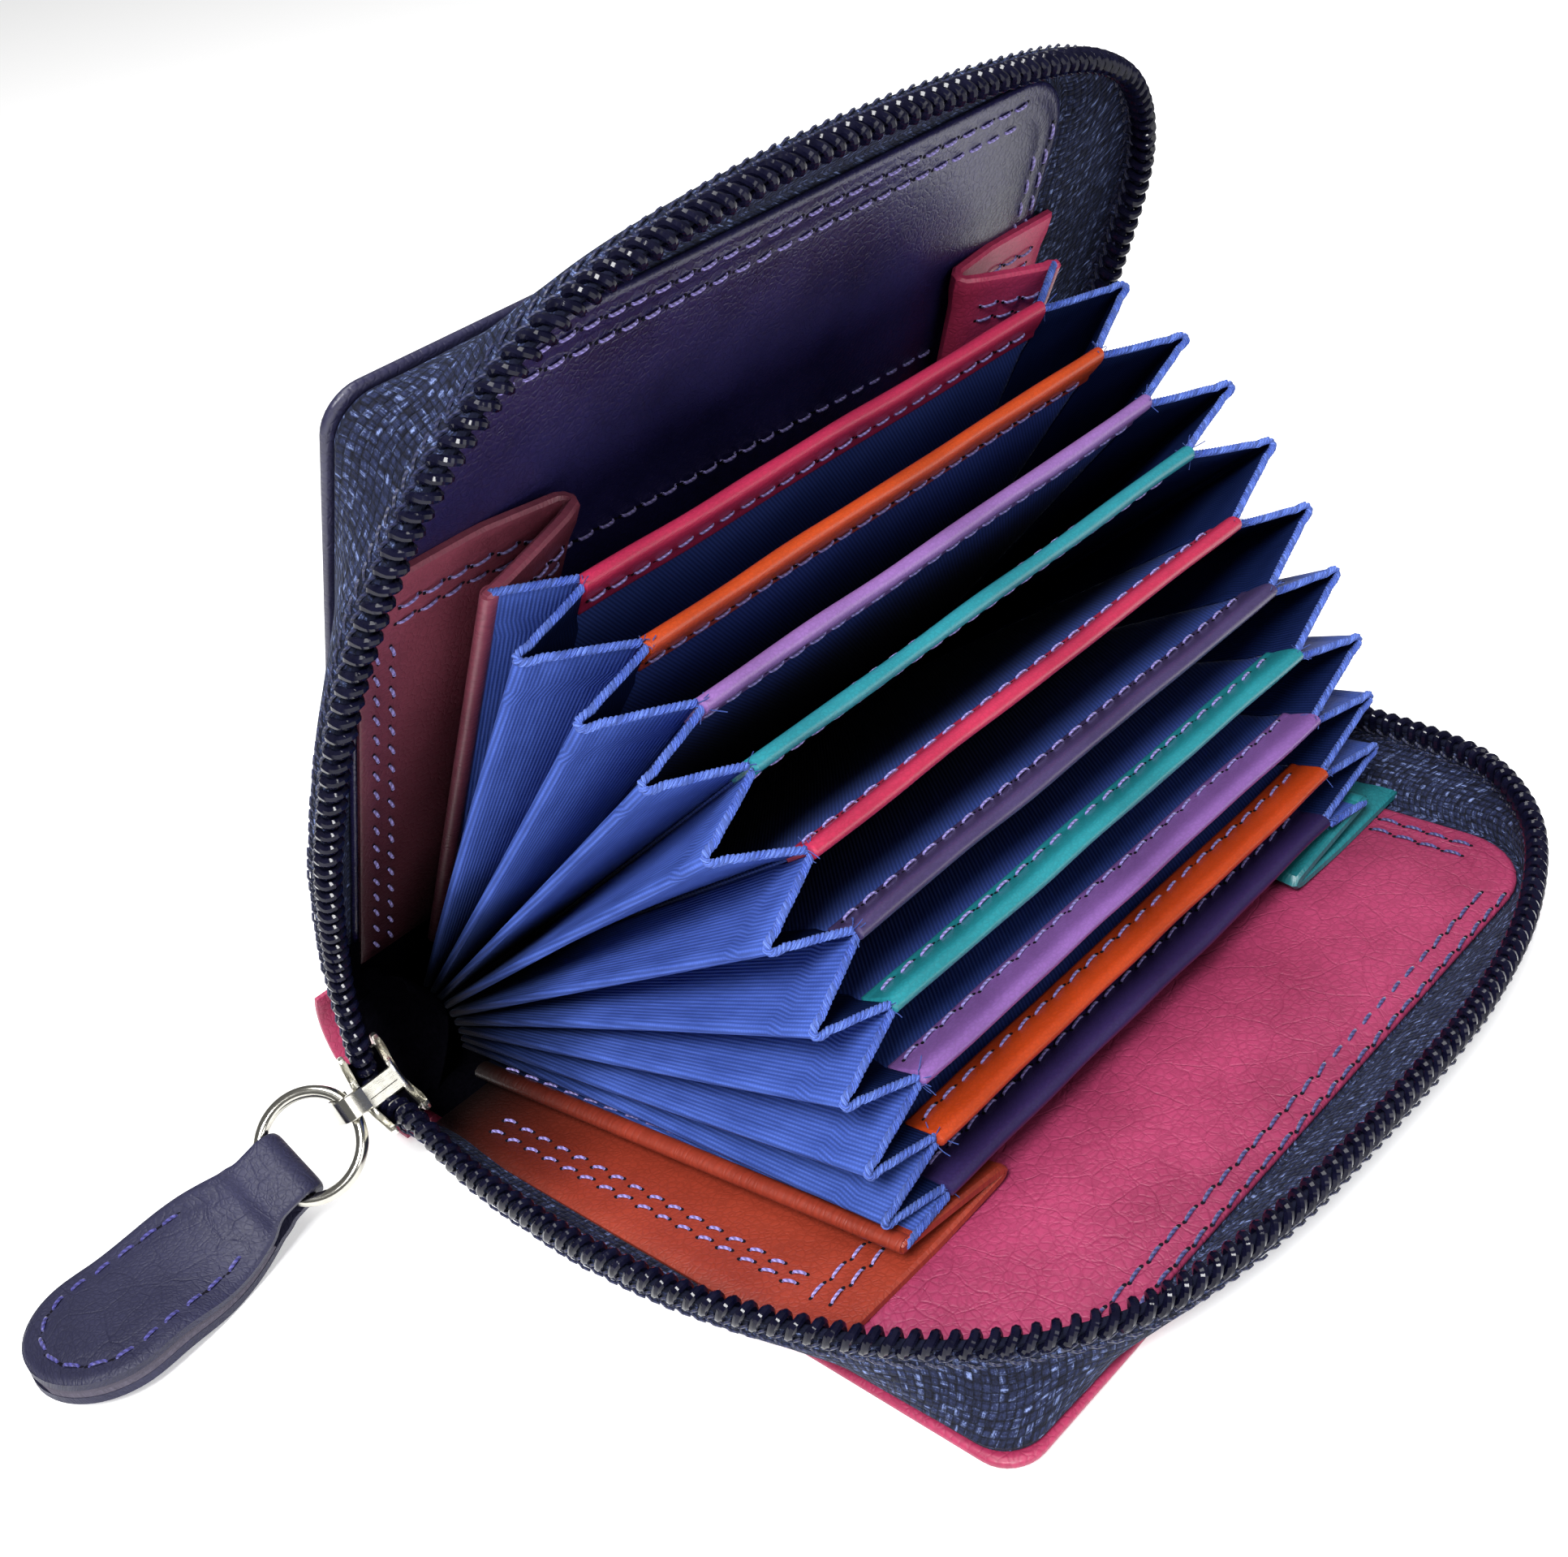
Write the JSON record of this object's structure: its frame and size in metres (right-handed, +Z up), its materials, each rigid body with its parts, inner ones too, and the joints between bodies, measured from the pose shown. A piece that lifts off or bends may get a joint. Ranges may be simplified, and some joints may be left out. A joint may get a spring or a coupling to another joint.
{
  "type": "accordion card wallet",
  "caption": "Zip-around leather card wallet standing open, with a fan of bound fabric dividers joined by folded gussets between two padded covers.",
  "frame": {"origin": "centre of the lower cover's underside, which lies on the table", "axes": "+X along the spine, away from the zip's slider end; +Y towards the spine; the mouth opens towards -Y; +Z up"},
  "size_m": [0.1582, 0.1025, 0.0959],
  "materials": {
    "navy_leather": "fine grain, satin",
    "berry_leather": "fine grain, satin",
    "indigo_lining": "smooth, satin",
    "magenta_lining": "creased, satin",
    "board": "matt card",
    "tape": "coarse woven tape",
    "nylon": "glossy",
    "nickel": "polished",
    "pull_leather": "creased, satin",
    "twill": "twill weave",
    "ribbon": "ribbed ribbon",
    "thread": "twisted thread",
    "rose_leather": "smooth, satin",
    "crimson_leather": "smooth, satin",
    "orange_leather": "smooth, satin",
    "teal_leather": "smooth, satin",
    "binding_crimson": "smooth, satin",
    "binding_orange": "smooth, satin",
    "binding_lilac": "smooth, satin",
    "binding_teal": "smooth, satin",
    "binding_raspberry": "smooth, satin",
    "binding_slate": "smooth, satin",
    "binding_teal_deep": "smooth, satin",
    "binding_purple": "smooth, satin",
    "binding_orange_low": "smooth, satin",
    "binding_ink": "smooth, satin"
  },
  "bodies": {
    "lower_half": {"lower_cover": "berry_leather", "lower_board": "board", "lower_lining": "magenta_lining", "zip_tape_lower": "tape", "zip_coil_lower": "nylon", "zip_stop_lower": "nickel", "spine_leather": "berry_leather", "gusset_leather_front_bottom": "orange_leather", "gusset_leather_back_bottom": "teal_leather"},
    "upper_half": {"upper_cover": "navy_leather", "upper_board": "board", "upper_lining": "indigo_lining", "zip_tape_upper": "tape", "zip_coil_upper": "nylon", "zip_stop_upper": "nickel", "gusset_leather_front_top": "rose_leather", "gusset_leather_back_top": "crimson_leather"},
    "leaf_1": {"divider_1": "twill", "binding_1": "binding_crimson", "gusset_front_1": "ribbon", "gusset_back_1": "ribbon"},
    "leaf_2": {"divider_2": "twill", "binding_2": "binding_orange", "gusset_front_2": "ribbon", "gusset_back_2": "ribbon"},
    "leaf_3": {"divider_3": "twill", "binding_3": "binding_lilac", "gusset_front_3": "ribbon", "gusset_back_3": "ribbon"},
    "leaf_4": {"divider_4": "twill", "binding_4": "binding_teal", "gusset_front_4": "ribbon", "gusset_back_4": "ribbon"},
    "leaf_5": {"divider_5": "twill", "binding_5": "binding_raspberry"},
    "leaf_6": {"divider_6": "twill", "binding_6": "binding_slate", "gusset_front_5": "ribbon", "gusset_back_5": "ribbon"},
    "leaf_7": {"divider_7": "twill", "binding_7": "binding_teal_deep", "gusset_front_6": "ribbon", "gusset_back_6": "ribbon"},
    "leaf_8": {"divider_8": "twill", "binding_8": "binding_purple", "gusset_front_7": "ribbon", "gusset_back_7": "ribbon"},
    "leaf_9": {"divider_9": "twill", "binding_9": "binding_orange_low", "gusset_front_8": "ribbon", "gusset_back_8": "ribbon"},
    "leaf_10": {"divider_10": "twill", "binding_10": "binding_ink", "gusset_front_9": "ribbon", "gusset_back_9": "ribbon"},
    "slider": {"zip_slider": "nickel", "slider_bail": "nickel"},
    "ring": {"pull_ring": "nickel"},
    "pull": {"puller_strap": "pull_leather", "puller_core": "board"}
  },
  "joints": [
    {"name": "cover_hinge", "type": "hinge", "parent": "lower_half", "child": "upper_half", "pos_m": [0, 0.04125, 0.0112], "axis": [-1, 0, 0], "range_deg": [-65.3, 54.7], "deforming": ["spine_leather"]},
    {"name": "leaf_10_hinge", "type": "hinge", "parent": "lower_half", "child": "leaf_10", "pos_m": [0, 0.04125, 0.0112], "axis": [-1, 0, 0], "range_deg": [-4.46, 3.74], "deforming": ["gusset_leather_front_bottom", "gusset_leather_back_bottom"]},
    {"name": "leaf_9_hinge", "type": "hinge", "parent": "leaf_10", "child": "leaf_9", "pos_m": [0, 0.04125, 0.0112], "axis": [-1, 0, 0], "range_deg": [-4.51, 3.78], "deforming": ["gusset_front_9", "gusset_back_9"]},
    {"name": "leaf_8_hinge", "type": "hinge", "parent": "leaf_9", "child": "leaf_8", "pos_m": [0, 0.04125, 0.0112], "axis": [-1, 0, 0], "range_deg": [-5.01, 4.2], "deforming": ["gusset_front_8", "gusset_back_8"]},
    {"name": "leaf_7_hinge", "type": "hinge", "parent": "leaf_8", "child": "leaf_7", "pos_m": [0, 0.04125, 0.0112], "axis": [-1, 0, 0], "range_deg": [-5.91, 4.96], "deforming": ["gusset_front_7", "gusset_back_7"]},
    {"name": "leaf_6_hinge", "type": "hinge", "parent": "leaf_7", "child": "leaf_6", "pos_m": [0, 0.04125, 0.0112], "axis": [-1, 0, 0], "range_deg": [-5.81, 4.87], "deforming": ["gusset_front_6", "gusset_back_6", "gusset_front_5", "gusset_back_5"]},
    {"name": "leaf_1_hinge", "type": "hinge", "parent": "upper_half", "child": "leaf_1", "pos_m": [0, 0.04125, 0.0112], "axis": [-1, 0, 0], "range_deg": [-8.18, 9.76], "deforming": ["gusset_leather_front_top", "gusset_leather_back_top"]},
    {"name": "leaf_2_hinge", "type": "hinge", "parent": "leaf_1", "child": "leaf_2", "pos_m": [0, 0.04125, 0.0112], "axis": [-1, 0, 0], "range_deg": [-5.29, 6.31], "deforming": ["gusset_front_1", "gusset_back_1"]},
    {"name": "leaf_3_hinge", "type": "hinge", "parent": "leaf_2", "child": "leaf_3", "pos_m": [0, 0.04125, 0.0112], "axis": [-1, 0, 0], "range_deg": [-4.54, 5.41], "deforming": ["gusset_front_2", "gusset_back_2"]},
    {"name": "leaf_4_hinge", "type": "hinge", "parent": "leaf_3", "child": "leaf_4", "pos_m": [0, 0.04125, 0.0112], "axis": [-1, 0, 0], "range_deg": [-4.29, 5.11], "deforming": ["gusset_front_3", "gusset_back_3"]},
    {"name": "leaf_5_hinge", "type": "hinge", "parent": "leaf_4", "child": "leaf_5", "pos_m": [0, 0.04125, 0.0112], "axis": [-1, 0, 0], "range_deg": [-5.79, 6.91], "deforming": ["gusset_front_4", "gusset_back_4"]},
    {"name": "zip_slide", "type": "slide", "parent": "lower_half", "child": "slider", "axis": [0, -1, 0], "range_m": [0, 0.045]},
    {"name": "ring_swing", "type": "hinge", "parent": "slider", "child": "ring", "pos_m": [-0.06195, 0.03785, 0.0118], "axis": [0, 0.8601, 0.5101], "range_deg": [-15, 100]},
    {"name": "pull_swing", "type": "hinge", "parent": "ring", "child": "pull", "pos_m": [-0.07155, 0.04079, 0.00684], "axis": [0, 0.8601, 0.5101], "range_deg": [-12, 14]}
  ],
  "couplings": [
    {"joint": "leaf_10_hinge", "follows": "cover_hinge", "ratio": 0.067928},
    {"joint": "leaf_9_hinge", "follows": "cover_hinge", "ratio": 0.068819},
    {"joint": "leaf_8_hinge", "follows": "cover_hinge", "ratio": 0.076455},
    {"joint": "leaf_7_hinge", "follows": "cover_hinge", "ratio": 0.090223},
    {"joint": "leaf_6_hinge", "follows": "cover_hinge", "ratio": 0.088683},
    {"joint": "leaf_1_hinge", "follows": "cover_hinge", "ratio": -0.14909},
    {"joint": "leaf_2_hinge", "follows": "cover_hinge", "ratio": -0.096384},
    {"joint": "leaf_3_hinge", "follows": "cover_hinge", "ratio": -0.082581},
    {"joint": "leaf_4_hinge", "follows": "cover_hinge", "ratio": -0.077972},
    {"joint": "leaf_5_hinge", "follows": "cover_hinge", "ratio": -0.10553}
  ]
}
